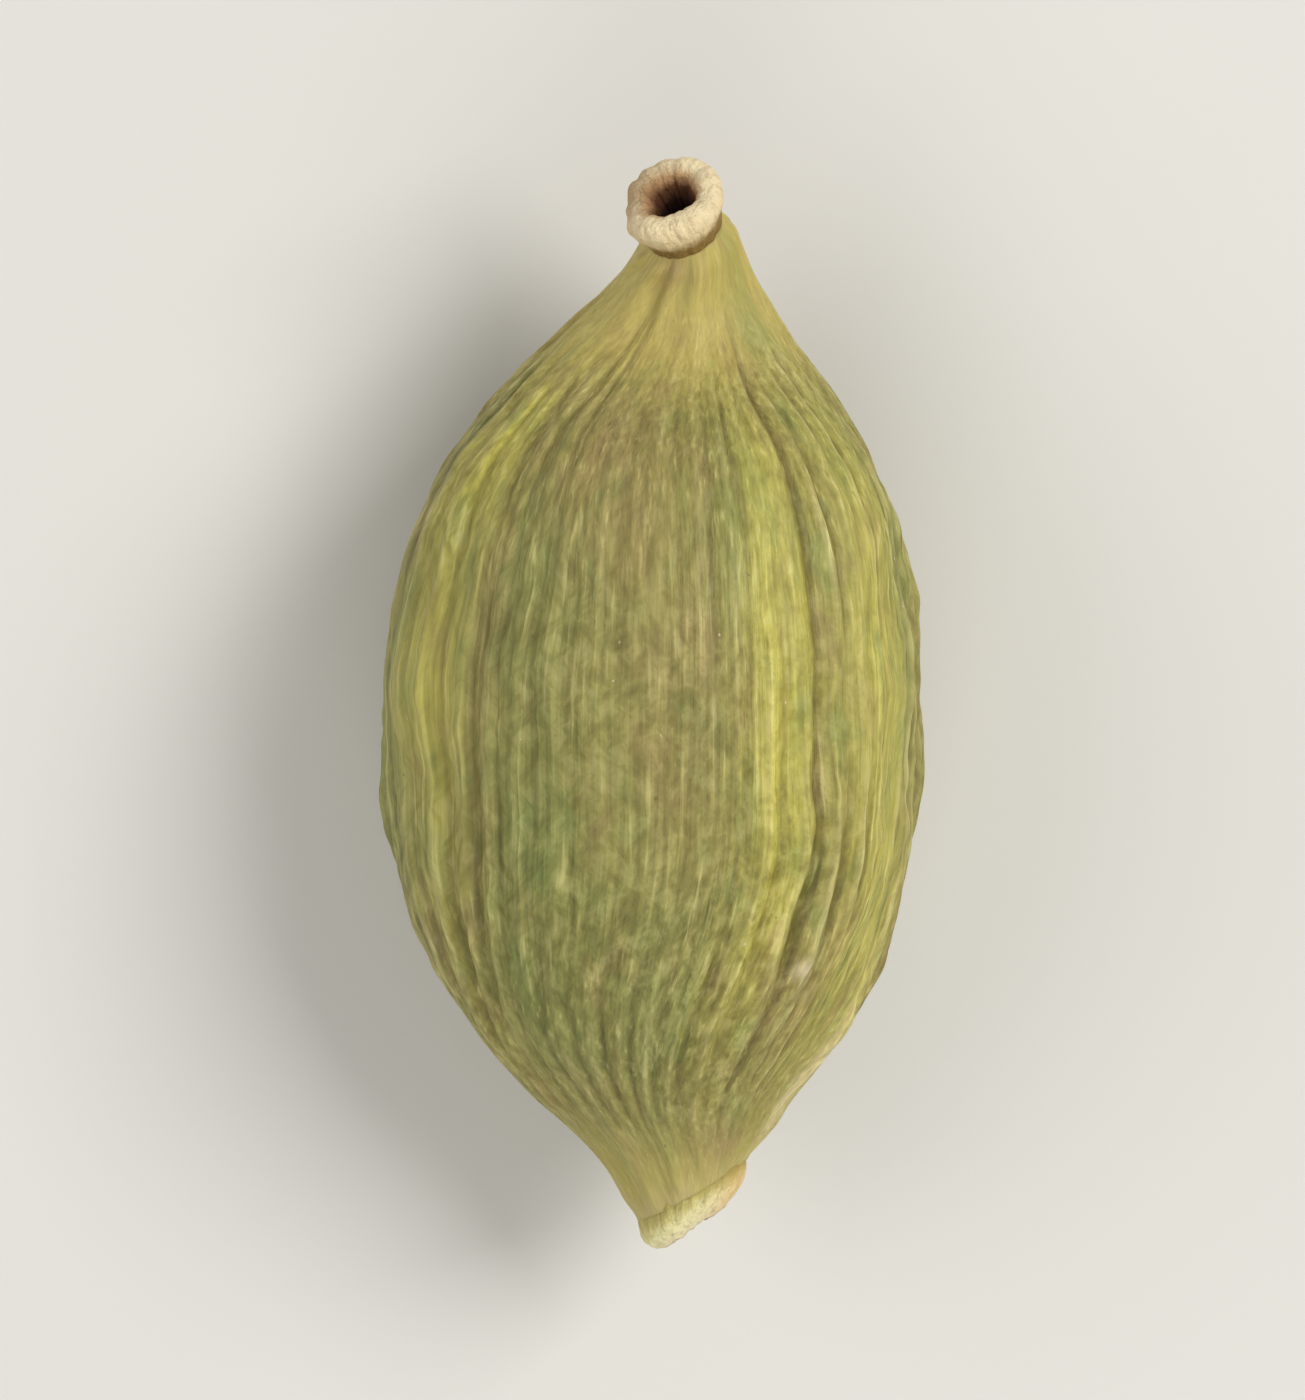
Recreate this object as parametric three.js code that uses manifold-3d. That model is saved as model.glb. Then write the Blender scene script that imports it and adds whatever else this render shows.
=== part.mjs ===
// A dried green cardamom pod, lying on its flattest side.
//
// The husk is a ribbed, three-sided capsule with unequal sides. Its ribs run from a blunt end, where the stalk
// broke off, to a beak that turns upwards. The dry ring of the flower's tube sits on the beak.
// Lengths are in millimetres and angles in degrees. +Y runs towards the beak, and +Z is up.
import * as THREE from "three";
import { mergeVertices } from "three/addons/utils/BufferGeometryUtils.js";
import Module from "manifold-3d";

// The pod's outline from above. Each row is a distance along the pod's middle line from the stalk end, half the
// width there, and how far the middle stands to the side.
const outline = [
  [0.4, 0.94, 0.62],
  [0.85, 1.0, 0.57],
  [1.4, 1.24, 0.49],
  [1.9, 1.64, 0.33],
  [2.45, 2.15, 0.22],
  [3.2, 2.83, 0.16],
  [4.5, 3.62, 0.14],
  [5.9, 4.02, 0.14],
  [7.3, 4.16, 0.14],
  [8.7, 4.19, 0.15],
  [10.1, 4.03, 0.17],
  [11.2, 3.78, 0.2],
  [12.2, 3.3, 0.22],
  [13.2, 2.56, 0.3],
  [14.1, 1.8, 0.42],
  [14.9, 1.18, 0.55],
  [15.6, 0.84, 0.58],
  [16.2, 0.72, 0.5],
  [16.7, 0.68, 0.34],
  [17.4, 0.68, 0.04],
];
const widestHalf = 4.19;

// The stalk end is cut off askew. The beak lifts off the ground and leans a little to one side.
const stalkLean = { angle: -34, from: 0.4, until: 2.0 };
const beakLift = { angle: 42, from: 12.4, until: 16.6 };
const beakLean = { angle: -24, from: 15.2, until: 16.6 };
const lineStep = 0.05;
const lineLength = 18;

// The three-sided section. Its corners stand at uneven angles, so that no two sides are equally wide. Towards the
// stalk end the whole section twists a little.
const cornerAngle = 74.7;
const cornerUneven = { angle: 15.8, at: 96.2 };
const baseTwist = { angle: 13, from: 1.4, until: 6.6 };
const cornerSwell = 0.07;
const roundness = 0.98;
const flattening = 0.92;
const roundBelow = 0.2;
const fullFrom = 0.62;

// The ribs wander a little sideways, and are higher along the seams at the three corners. At both ends every
// three ribs run together into one pleat. The seeds press out low bulges between the seams.
const ribCount = 42;
const ribHeight = 0.08;
const ribWander = 1.6;
const seam = { boost: 0.6, spread: 0.2 };
const pleatCount = 14;
const pleatHeight = 0.045;
const seed = { height: 0.05, pitch: 2.9 };

// The husk runs between the two end pieces. A spigot on each end piece sits in a socket in the husk.
const husk = { from: 0.75, until: 16.15, rings: 29, stepsPerRib: 4, endCrowding: 0.6 };
const socket = { radius: 0.44, depth: 0.5 };
const fitGap = 0.025;

// The flat spot that the pod rests on.
const flatDepth = 0.12;
const cutterSize = 20;

// The flower's tube as a wall: rows of a distance above the husk's end and a radius, from its spigot up its
// outside, over the rim and down the hole.
const tubeWall = [
  [-0.45, 0.4],
  [0.0, 0.4],
  [0.0, 0.63],
  [0.15, 0.66],
  [0.35, 0.72],
  [0.54, 0.78],
  [0.68, 0.79],
  [0.78, 0.75],
  [0.83, 0.67],
  [0.82, 0.57],
  [0.75, 0.48],
  [0.64, 0.41],
  [0.46, 0.36],
  [0.2, 0.32],
  [-0.1, 0.27],
];
const tubeTear = { from: 0.2, height: 0.028, width: 0.03 };

// The stalk's stub as a wall: rows of a distance out from the husk's end and a radius, from its spigot over its
// papery lip into the shallow scar.
const stubWall = [
  [-0.45, 0.4],
  [0.0, 0.4],
  [0.0, 0.93],
  [0.12, 0.97],
  [0.24, 0.95],
  [0.32, 0.86],
  [0.3, 0.74],
  [0.2, 0.6],
  [0.14, 0.38],
  [0.17, 0.16],
];
const stubTear = { from: 0.1, height: 0.035, width: 0.04 };
const endSteps = 48;

const radians = THREE.MathUtils.degToRad;
const { clamp, lerp, smoothstep } = THREE.MathUtils;

// A smooth value from one column of the outline, at a distance along the pod.
function outlineAt(along, column) {
  const last = outline.length - 1;
  const slopeAt = (row) => {
    const [before, after] = [outline[Math.max(0, row - 1)], outline[Math.min(last, row + 1)]];
    return (after[column] - before[column]) / (after[0] - before[0]);
  };
  const row = clamp(outline.findIndex(([distance]) => distance > along) - 1, 0, last - 1);
  const [near, far] = [outline[row], outline[row + 1]];
  const span = far[0] - near[0];
  const t = Math.max(0, (along - near[0]) / span);
  const curve = (1 + 2 * t) * (1 - t) ** 2 * near[column] + t * t * (3 - 2 * t) * far[column];
  const bend = t * (1 - t) ** 2 * slopeAt(row) - t * t * (1 - t) * slopeAt(row + 1);
  return curve + bend * span;
}

// The pod's heading at a distance along it.
function headingAt(along) {
  const lift = radians(beakLift.angle) * smoothstep(along, beakLift.from, beakLift.until);
  const lean =
    radians(stalkLean.angle) * (1 - smoothstep(along, stalkLean.from, stalkLean.until)) +
    radians(beakLean.angle) * smoothstep(along, beakLean.from, beakLean.until);
  return new THREE.Vector3(Math.sin(lean), Math.cos(lean) * Math.cos(lift), Math.cos(lean) * Math.sin(lift));
}

// How far forward and how far up the middle line has come at each small step along it.
const risen = [new THREE.Vector2()];
for (let at = lineStep / 2; at < lineLength; at += lineStep) {
  const lift = radians(beakLift.angle) * smoothstep(at, beakLift.from, beakLift.until);
  const stepUp = new THREE.Vector2(Math.cos(lift), Math.sin(lift)).multiplyScalar(lineStep);
  risen.push(stepUp.add(risen[risen.length - 1]));
}

// The section's frame at a distance along the pod: its middle, and its side, heading and up directions.
function frameAt(along) {
  const place = clamp(along / lineStep, 0, risen.length - 2);
  const before = Math.floor(place);
  const { x: forward, y: height } = risen[before].clone().lerp(risen[before + 1], place - before);
  const middle = new THREE.Vector3(outlineAt(along, 2), forward, height);
  const heading = headingAt(along);
  const side = heading.clone().cross(new THREE.Vector3(0, 0, 1)).normalize();
  return { middle, side, heading, up: side.clone().cross(heading) };
}

// How far the husk's surface stands from its middle. The corners are at 0, 120 and 240 degrees of the turn.
function huskRadius(turn, along) {
  const half = outlineAt(along, 1);
  const full = half / widestHalf;
  const body = smoothstep(full, roundBelow, fullFrom);
  const corners = cornerSwell * roundness * half * full ** 0.8 * Math.cos(3 * turn);
  const fromCorner = Math.abs(Math.asin(Math.sin(1.5 * turn))) / 1.5;
  const nearSeam = 1 + seam.boost * Math.exp(-((fromCorner / seam.spread) ** 2));
  const uneven = 1 + 0.35 * Math.sin(5 * turn + 0.25 * along) + 0.3 * Math.sin(11 * turn - 0.3 * along + 1);
  const ribs = 0.5 * ribHeight * body * nearSeam * uneven * Math.cos(ribCount * turn);
  const pleats = pleatHeight * (1 - body) * Math.cos(pleatCount * turn);
  const seedRow = Math.sin((2 * Math.PI * along) / seed.pitch + 2.1 * Math.sin(3 * turn));
  const seeds = seed.height * body * seedRow * Math.cos(6 * turn + 0.6);
  return roundness * half + corners + ribs + pleats + seeds;
}

// The husk's direction around its middle, which puts the corners and the ribs at their uneven angles.
function huskAngle(turn, along) {
  const corners = radians(cornerAngle) + radians(cornerUneven.angle) * Math.sin(turn - radians(cornerUneven.at));
  const twist = radians(baseTwist.angle) * (1 - smoothstep(along, baseTwist.from, baseTwist.until));
  const wander = Math.sin(7 * turn + 0.14 * along) + 0.6 * Math.sin(4 * turn - 0.45 * along);
  return turn + corners + twist + radians(ribWander) * wander;
}

// A ring of points about the middle line, at a distance along the pod. The radius and the angle are functions.
function ringAround(along, steps, radiusOf, angleOf = (turn) => turn) {
  const body = smoothstep(outlineAt(along, 1) / widestHalf, roundBelow, fullFrom);
  const squash = lerp(1, flattening, body);
  return Array.from({ length: steps }, (_, i) => {
    const turn = (2 * Math.PI * i) / steps;
    const { radius, lift = 0 } = radiusOf(turn);
    const angle = angleOf(turn);
    const { middle, side, heading, up } = frameAt(along);
    return middle
      .addScaledVector(side, radius * Math.cos(angle))
      .addScaledVector(up, radius * squash * Math.sin(angle))
      .addScaledVector(heading, lift);
  });
}

// A closed surface through a stack of rings that have the same number of points, with a fan at each end.
function stackedSurface(rings) {
  const around = rings[0].length;
  const middleOf = (ring) => ring.reduce((sum, p) => sum.add(p), new THREE.Vector3()).divideScalar(around);
  const points = [...rings.flat(), middleOf(rings[0]), middleOf(rings[rings.length - 1])];
  const topRow = around * (rings.length - 1);
  const [firstMiddle, lastMiddle] = [points.length - 2, points.length - 1];
  const index = [];
  for (let i = 0; i < around; i++) {
    const next = (i + 1) % around;
    index.push(firstMiddle, i, next);
    for (let row = 0; row < topRow; row += around) {
      index.push(row + i, row + around + i, row + around + next);
      index.push(row + i, row + around + next, row + next);
    }
    index.push(lastMiddle, topRow + next, topRow + i);
  }
  const surface = new THREE.BufferGeometry().setFromPoints(points);
  surface.setIndex(index);
  return surface;
}

// The husk: up one socket's wall, over the ribbed outside, and down into the other socket.
function huskSurface() {
  const steps = ribCount * husk.stepsPerRib;
  const socketRing = (along) => ringAround(along, steps, () => ({ radius: socket.radius }));
  const outside = Array.from({ length: husk.rings }, (_, i) => {
    const even = i / (husk.rings - 1);
    const crowded = (1 - Math.cos(Math.PI * even)) / 2;
    const along = lerp(husk.from, husk.until, lerp(even, crowded, husk.endCrowding));
    const radiusOf = (turn) => ({ radius: huskRadius(turn, along) });
    return ringAround(along, steps, radiusOf, (turn) => huskAngle(turn, along));
  });
  return stackedSurface([
    socketRing(husk.from + socket.depth),
    socketRing(husk.from),
    ...outside,
    socketRing(husk.until),
    socketRing(husk.until - socket.depth),
  ]);
}

// An end piece: its wall turned about the middle line, with its lip torn a little unevenly.
function endSurface(wall, base, outwards, tear) {
  const rings = wall.map(([out, radius]) => {
    const torn = smoothstep(out, tear.from, tear.from + 0.3);
    return ringAround(base + outwards * out, endSteps, (turn) => ({
      radius: radius + torn * tear.width * (Math.sin(2 * turn + 2.4) + 0.5 * Math.sin(5 * turn)),
      lift: outwards * torn * tear.height * (Math.sin(3 * turn + 1) + 0.6 * Math.sin(7 * turn)),
    }));
  });
  return stackedSurface(outwards > 0 ? rings : rings.reverse());
}

const wasm = await Module();
wasm.setup();

// A solid made from a surface, and a surface made from a solid.
function solidFrom(surface) {
  const bare = mergeVertices(surface);
  const vertProperties = new Float32Array(bare.attributes.position.array);
  const triVerts = new Uint32Array(bare.index.array);
  return new wasm.Manifold(new wasm.Mesh({ numProp: 3, vertProperties, triVerts }));
}

function surfaceFrom(solid) {
  const { numProp, vertProperties, triVerts } = solid.getMesh();
  const surface = new THREE.BufferGeometry();
  surface.setAttribute("position", new THREE.BufferAttribute(new Float32Array(vertProperties), numProp));
  surface.setIndex(new THREE.BufferAttribute(new Uint32Array(triVerts), 1));
  surface.computeVertexNormals();
  return surface;
}

const wholeHusk = huskSurface();
wholeHusk.computeBoundingBox();
const groundHeight = wholeHusk.boundingBox.min.z + flatDepth;
const below = new THREE.BoxGeometry(cutterSize, 2 * cutterSize, cutterSize);
below.deleteAttribute("normal");
below.deleteAttribute("uv");
below.translate(0, 0, groundHeight - cutterSize / 2);
const restingHusk = surfaceFrom(solidFrom(wholeHusk).subtract(solidFrom(below)));

const pod = new THREE.Group();
function addPiece(name, surface, color, roughness) {
  surface.computeVertexNormals();
  const piece = new THREE.Mesh(surface, new THREE.MeshStandardMaterial({ color, roughness, metalness: 0 }));
  piece.name = name;
  pod.add(piece);
}
addPiece("husk", restingHusk, "#9c9655", 0.62);
addPiece("flower_tube", endSurface(tubeWall, husk.until + fitGap, 1, tubeTear), "#dcc48d", 0.7);
addPiece("stalk_stub", endSurface(stubWall, husk.from - fitGap, -1, stubTear), "#c9b981", 0.75);

// The origin is under the middle of the pod, on the ground.
const box = new THREE.Box3().setFromObject(pod);
pod.position.set(-(box.min.x + box.max.x) / 2, -(box.min.y + box.max.y) / 2, -groundHeight);

const part = new THREE.Group();
part.add(pod);
export default part;
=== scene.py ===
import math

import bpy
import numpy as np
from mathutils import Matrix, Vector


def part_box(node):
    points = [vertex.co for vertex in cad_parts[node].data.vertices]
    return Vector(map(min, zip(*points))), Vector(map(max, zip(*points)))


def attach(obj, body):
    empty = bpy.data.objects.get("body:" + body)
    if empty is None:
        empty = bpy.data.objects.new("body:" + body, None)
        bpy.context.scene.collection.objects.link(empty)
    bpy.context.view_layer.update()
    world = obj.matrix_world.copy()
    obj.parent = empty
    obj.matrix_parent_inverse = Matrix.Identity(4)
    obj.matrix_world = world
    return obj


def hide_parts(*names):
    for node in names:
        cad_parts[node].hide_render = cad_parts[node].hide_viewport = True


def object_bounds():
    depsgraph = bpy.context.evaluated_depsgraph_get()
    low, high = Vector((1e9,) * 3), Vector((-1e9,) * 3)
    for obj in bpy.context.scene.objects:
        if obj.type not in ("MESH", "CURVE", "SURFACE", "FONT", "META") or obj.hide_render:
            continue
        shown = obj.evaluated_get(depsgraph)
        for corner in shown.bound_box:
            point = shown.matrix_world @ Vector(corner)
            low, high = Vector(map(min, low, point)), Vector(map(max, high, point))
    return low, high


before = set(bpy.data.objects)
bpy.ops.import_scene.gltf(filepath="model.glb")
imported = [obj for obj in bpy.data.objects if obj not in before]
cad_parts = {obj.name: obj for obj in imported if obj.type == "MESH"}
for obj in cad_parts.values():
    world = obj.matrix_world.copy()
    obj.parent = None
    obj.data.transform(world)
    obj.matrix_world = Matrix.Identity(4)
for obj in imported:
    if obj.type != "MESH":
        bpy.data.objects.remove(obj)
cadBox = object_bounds()

# A dried green cardamom pod, lying on its flattest side: its husk, the ring of its flower's tube and the
# stub of its stalk. Lengths are in millimetres until a mesh is made. A place on the pod is given by its
# distance along the pod from the stalk end, and by its turn about the middle line. The three seams of the
# husk run at the turns 0, 120 and 240 degrees.

millimetre = 0.001
fullTurn = 2 * math.pi
seamCount = 3


# The pod's form, with the same sizes as its solids.

podForm = {
    "outline": [  # distance along the pod, half the width, and how far the middle stands to the side
        (0.4, 0.94, 0.62), (0.85, 1.0, 0.57), (1.4, 1.24, 0.49), (1.9, 1.64, 0.33), (2.45, 2.15, 0.22),
        (3.2, 2.83, 0.16), (4.5, 3.62, 0.14), (5.9, 4.02, 0.14), (7.3, 4.16, 0.14), (8.7, 4.19, 0.15),
        (10.1, 4.03, 0.17), (11.2, 3.78, 0.2), (12.2, 3.3, 0.22), (13.2, 2.56, 0.3), (14.1, 1.8, 0.42),
        (14.9, 1.18, 0.55), (15.6, 0.84, 0.58), (16.2, 0.72, 0.5), (16.7, 0.68, 0.34), (17.4, 0.68, 0.04),
    ],
    "widestHalf": 4.19,
    "huskFrom": 0.75,
    "huskUntil": 16.15,
    "stalkLean": (-34, 0.4, 2.0),  # angle, from where, until where
    "beakLift": (42, 12.4, 16.6),
    "beakLean": (-24, 15.2, 16.6),
    "lineStep": 0.05,
    "lineLength": 18,
    "cornerAngle": 74.7,  # degrees, where the first seam stands before the swing
    "cornerUneven": (15.8, 96.2),  # degrees that the seams swing by, and where the swing starts
    "baseTwist": (13, 1.4, 6.6),
    "cornerSwell": 0.07,
    "cornerFading": 0.8,  # how soon the corners go where the pod narrows
    "roundness": 0.98,
    "flattening": 0.92,
    "roundBelow": 0.2,
    "fullFrom": 0.62,
    "ribCount": 42,
    "ribHeight": 0.08,
    "ribUneven": [(0.35, 5, 0.25, 0), (0.3, 11, -0.3, 1)],  # strength, number, radians per mm, start
    "ribWander": 1.6,
    "wanderWaves": [(1.0, 7, 0.14, 0), (0.6, 4, -0.45, 0)],
    "seamBoost": 0.6,
    "seamSpread": 0.2,
    "pleatCount": 14,
    "pleatHeight": 0.045,
    "seedHeight": 0.05,
    "seedPitch": 2.9,
    "seedStagger": 2.1,
    "seedRows": (6, 0.6),  # number round the pod, and where they start in radians
    "boxSteps": (200, 168),  # along and around, to find the husk's box
}


def smoothStep(start, end, value):
    share = np.clip((value - start) / (end - start), 0, 1)
    return share * share * (3 - 2 * share)


def bump(value, centre, spread):
    return np.exp(-(((value - centre) / spread) ** 2))


# A smooth curve through rows of (distance, value), read at any distances.
def curveThrough(distances, values, at):
    distances, values = np.asarray(distances, float), np.asarray(values, float)
    slopes = np.empty_like(values)
    slopes[1:-1] = (values[2:] - values[:-2]) / (distances[2:] - distances[:-2])
    slopes[0] = (values[1] - values[0]) / (distances[1] - distances[0])
    slopes[-1] = (values[-1] - values[-2]) / (distances[-1] - distances[-2])
    at = np.asarray(at, float)
    row = np.clip(np.searchsorted(distances, at, side="right") - 1, 0, len(distances) - 2)
    span = distances[row + 1] - distances[row]
    t = np.maximum(0, (at - distances[row]) / span)
    level = (1 + 2 * t) * (1 - t) ** 2 * values[row] + t * t * (3 - 2 * t) * values[row + 1]
    return level + span * (t * (1 - t) ** 2 * slopes[row] - t * t * (1 - t) * slopes[row + 1])


def outlineAt(along, column):
    rows = podForm["outline"]
    return curveThrough([row[0] for row in rows], [row[column] for row in rows], along)


def liftAt(along):
    angle, start, end = podForm["beakLift"]
    return math.radians(angle) * smoothStep(start, end, along)


def leanAt(along):
    stalkAngle, stalkStart, stalkEnd = podForm["stalkLean"]
    beakAngle, beakStart, beakEnd = podForm["beakLean"]
    stalk = math.radians(stalkAngle) * (1 - smoothStep(stalkStart, stalkEnd, along))
    return stalk + math.radians(beakAngle) * smoothStep(beakStart, beakEnd, along)


# The section's middle, side, heading and up directions at each distance along the pod.
def sectionFrames(along):
    along = np.atleast_1d(np.asarray(along, float))
    step = podForm["lineStep"]
    places = np.arange(0, podForm["lineLength"] + step, step)
    lifts = liftAt(places[:-1] + step / 2)
    forward = np.concatenate([[0], np.cumsum(np.cos(lifts) * step)])
    height = np.concatenate([[0], np.cumsum(np.sin(lifts) * step)])
    middle = np.stack(
        [outlineAt(along, 2), np.interp(along, places, forward), np.interp(along, places, height)], axis=1
    )
    lean, lift = leanAt(along), liftAt(along)
    heading = np.stack([np.sin(lean), np.cos(lean) * np.cos(lift), np.cos(lean) * np.sin(lift)], axis=1)
    side = np.cross(heading, [0, 0, 1])
    side /= np.linalg.norm(side, axis=1, keepdims=True)
    return middle, side, heading, np.cross(side, heading)


def fullnessAt(along):
    return outlineAt(along, 1) / podForm["widestHalf"]


# 1 on the pod's body and 0 on its two narrow ends.
def bodyAt(along):
    return smoothStep(podForm["roundBelow"], podForm["fullFrom"], fullnessAt(along))


# How far a turn is from the nearest seam, in radians.
def fromSeam(turn):
    half = seamCount / 2
    return np.abs(np.arcsin(np.clip(np.sin(half * turn), -1, 1))) / half


# Waves round the pod, which turn as they go along it.
def wavesAt(turn, along, waves):
    return sum(
        strength * np.sin(count * turn + drift * along + start) for strength, count, drift, start in waves
    )


# The husk's direction about its middle: the seams and the ribs stand at uneven angles.
def huskAngle(turn, along):
    swing, at = podForm["cornerUneven"]
    corners = math.radians(podForm["cornerAngle"]) + math.radians(swing) * np.sin(turn - math.radians(at))
    wander = wavesAt(turn, along, podForm["wanderWaves"])
    twist, twistFrom, twistUntil = podForm["baseTwist"]
    corners = corners + math.radians(twist) * (1 - smoothStep(twistFrom, twistUntil, along))
    return turn + corners + math.radians(podForm["ribWander"]) * wander


# The husk's three-sided form and its ribs, as on the solid. The rib wave may be given a finer shape.
def huskRadius(turn, along, ribWave=None):
    form = podForm
    half, full, body = outlineAt(along, 1), fullnessAt(along), bodyAt(along)
    shrunk = form["roundness"] * half
    corners = form["cornerSwell"] * shrunk * full ** form["cornerFading"] * np.cos(seamCount * turn)
    nearSeam = 1 + form["seamBoost"] * bump(fromSeam(turn), 0, form["seamSpread"])
    uneven = 1 + wavesAt(turn, along, form["ribUneven"])
    wave = np.cos(form["ribCount"] * turn) if ribWave is None else ribWave
    ribs = 0.5 * form["ribHeight"] * body * nearSeam * uneven * wave
    pleats = form["pleatHeight"] * (1 - body) * np.cos(form["pleatCount"] * turn)
    seedBumps = np.sin(fullTurn * along / form["seedPitch"] + form["seedStagger"] * np.sin(seamCount * turn))
    seedRows, seedStart = form["seedRows"]
    seeds = form["seedHeight"] * body * seedBumps * np.cos(seedRows * turn + seedStart)
    return shrunk + corners + ribs + pleats + seeds


# Points about the middle line, for a grid of distances (rows) and turns (columns).
def pointsAround(along, angle, radius):
    middle, side, heading, up = (part[:, None, :] for part in sectionFrames(along[:, 0]))
    squash = 1 + (podForm["flattening"] - 1) * bodyAt(along)
    across = (radius * np.cos(angle))[..., None] * side
    return middle + across + (radius * squash * np.sin(angle))[..., None] * up


def gridOf(alongValues, turnSteps):
    along = np.asarray(alongValues, float)[:, None]
    turn = (fullTurn * np.arange(turnSteps) / turnSteps)[None, :]
    return along + 0 * turn, turn + 0 * along


# Where the pod's middle line starts in the frame, from the husk's box there.
def findPodStart():
    lowest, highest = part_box("husk")
    alongSteps, aroundSteps = podForm["boxSteps"]
    along, turn = gridOf(np.linspace(podForm["huskFrom"], podForm["huskUntil"], alongSteps), aroundSteps)
    points = pointsAround(along, huskAngle(turn, along), huskRadius(turn, along)).reshape(-1, 3)
    ground = points[:, 2].max() - highest.z / millimetre
    side = (points[:, 0].min() + points[:, 0].max()) / 2 - (lowest.x + highest.x) / 2 / millimetre
    ahead = (points[:, 1].min() + points[:, 1].max()) / 2 - (lowest.y + highest.y) / 2 / millimetre
    return np.array([-side, -ahead, -ground])


podStart = findPodStart()
print("pod starts at", podStart.round(3))


# Smooth random values from -1 to 1 over the pod, which close up after a full turn.
def softNoise(turn, along, cellsAround, cellLength, seed):
    rows = int(podForm["lineLength"] / cellLength) + 4  # one to spare before the pod, and some after it
    lattice = np.random.default_rng(seed).uniform(-1, 1, (rows, cellsAround))
    across = (turn / fullTurn % 1) * cellsAround
    ahead = np.clip(along / cellLength + 1, 0, rows - 2.001)  # so that a next row is always there
    column, row = np.floor(across).astype(int), np.floor(ahead).astype(int)
    u, v = across - column, ahead - row
    u, v = u * u * (3 - 2 * u), v * v * (3 - 2 * v)
    column, nextColumn = column % cellsAround, (column + 1) % cellsAround
    near = lattice[row, column] * (1 - u) + lattice[row, nextColumn] * u
    far = lattice[row + 1, column] * (1 - u) + lattice[row + 1, nextColumn] * u
    return near * (1 - v) + far * v


# A closed mesh through rings of points, shut by a fan at each end. It carries values for its material.
def meshFromRings(name, rings, attributes, body="root"):
    rows, around, _ = rings.shape
    middles = np.stack([rings[0].mean(0), rings[-1].mean(0)])
    points = (np.concatenate([rings.reshape(-1, 3), middles]) + podStart) * millimetre
    points[:, 2] = np.maximum(points[:, 2], 0)  # the underside is pressed flat on the ground
    low = np.arange(rows - 1)[:, None] * around
    here = np.arange(around)[None, :]
    after = (here + 1) % around
    quads = np.stack([low + here, low + around + here, low + around + after, low + after], axis=-1)
    first, top = rows * around, (rows - 1) * around
    fans = [(first, i, (i + 1) % around) for i in range(around)]
    fans += [(first + 1, top + (i + 1) % around, top + i) for i in range(around)]
    mesh = bpy.data.meshes.new(name)
    mesh.from_pydata(points.tolist(), [], quads.reshape(-1, 4).tolist() + fans)
    mesh.polygons.foreach_set("use_smooth", [True] * len(mesh.polygons))
    for label, values in attributes.items():
        vector = values.ndim == 3
        fanValues = np.stack([values[0].mean(0), values[-1].mean(0)])
        flat = np.concatenate([values.reshape(-1, 3) if vector else values.ravel(), fanValues])
        attribute = mesh.attributes.new(label, "FLOAT_VECTOR" if vector else "FLOAT", "POINT")
        attribute.data.foreach_set("vector" if vector else "value", flat.astype(np.float32).ravel())
    mesh.update()
    piece = bpy.data.objects.new(name, mesh)
    bpy.context.scene.collection.objects.link(piece)
    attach(piece, body)
    return piece


# A hex colour's sRGB values turned to linear ones.
def linearColor(hexColor):
    channels = [int(hexColor[i:i + 2], 16) / 255 for i in (1, 3, 5)]
    return [c / 12.92 if c <= 0.04045 else ((c + 0.055) / 1.055) ** 2.4 for c in channels] + [1.0]


# Adds a node with its settings, its colour stops, and its inputs by name or number. An input is a value, or
# another node's output.
def addNode(tree, kind, inputs=None, stops=None, **settings):
    node = tree.nodes.new(kind)
    for name, value in settings.items():
        setattr(node, name, value)
    if stops:
        elements = node.color_ramp.elements
        while len(elements) < len(stops):
            elements.new(0.5)
        for element, (position, color) in zip(elements, stops):
            element.position = position
            element.color = linearColor(color)
    for name, value in (inputs or {}).items():
        if isinstance(value, bpy.types.NodeSocket):
            tree.links.new(value, node.inputs[name])
        else:
            node.inputs[name].default_value = value
    return node


mixShare, mixUnder, mixOver, mixResult = 0, 6, 7, 2  # the places of a colour mix's sockets


def newMaterial(name):
    material = bpy.data.materials.new(name)
    material.use_nodes = True
    tree = material.node_tree
    tree.nodes.clear()
    return material, tree


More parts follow.
